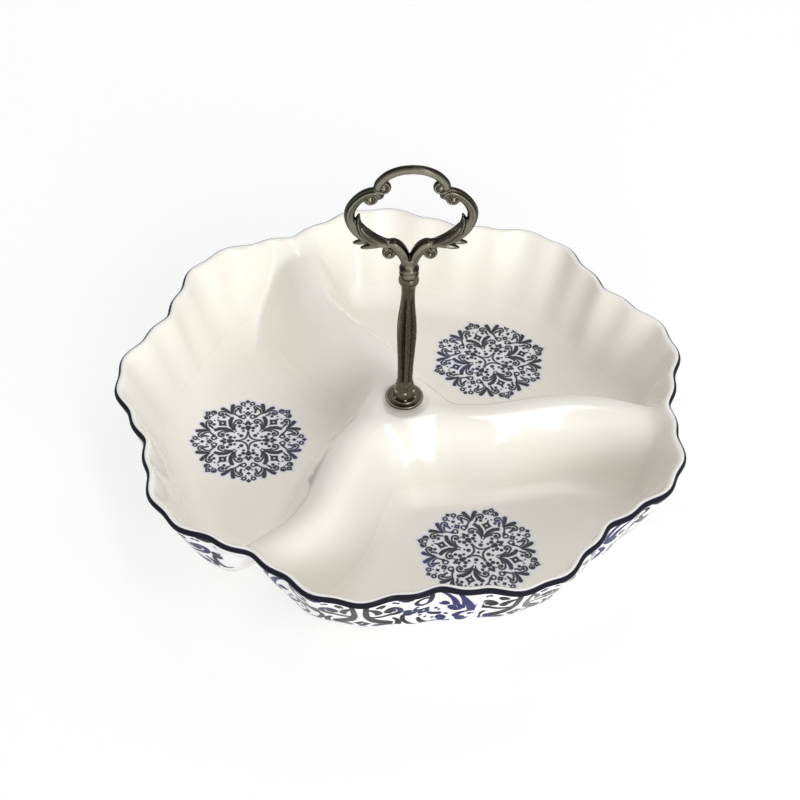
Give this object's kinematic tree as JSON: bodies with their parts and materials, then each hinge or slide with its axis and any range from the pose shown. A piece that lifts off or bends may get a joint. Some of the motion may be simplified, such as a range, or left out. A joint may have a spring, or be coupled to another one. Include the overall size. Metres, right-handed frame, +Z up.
{
  "type": "divided serving bowl",
  "caption": "Round glazed serving bowl with a lobed rim, swirled dividers between its compartments and an upright cast ring handle screwed through the central boss.",
  "frame": {"origin": "on the table under the handle's axis, at the bottom centre of the bowl", "axes": "+Z up along the handle, X along the handle ring's width, -Y towards the front"},
  "size_m": [0.2501, 0.2501, 0.1645],
  "materials": {
    "glaze": "glossy warm white glaze with dark blue printed ornament",
    "bronze": "antique bronze plating on a cast alloy, worn lighter on the edges",
    "steel": "plain zinc plated",
    "gasket": "soft clear-white washer"
  },
  "bodies": {
    "bowl": {"bowl": "glaze"},
    "clamp": {"foot_flange": "bronze", "upper_gasket": "gasket", "lower_gasket": "gasket", "lower_washer": "steel"},
    "handle": {"handle_ring": "bronze", "joining_stud": "steel", "handle_stem": "bronze"},
    "screw": {"fixing_screw": "steel"}
  },
  "joints": [
    {"name": "handle_swivel", "type": "hinge", "parent": "bowl", "child": "clamp", "pos_m": [0, 0, 0.035], "axis": [0, 0, 1], "continuous": true},
    {"name": "screw_turn", "type": "hinge", "parent": "clamp", "child": "screw", "pos_m": [0, 0, 0.028], "axis": [0, 0, 1], "range_deg": [-4890, 0]},
    {"name": "handle_rise", "type": "slide", "parent": "clamp", "child": "handle", "axis": [0, 0, 1], "range_m": [0, 0.0095]}
  ],
  "couplings": [
    {"joint": "screw_turn", "follows": "handle_rise", "rad_per_m": -8976}
  ]
}
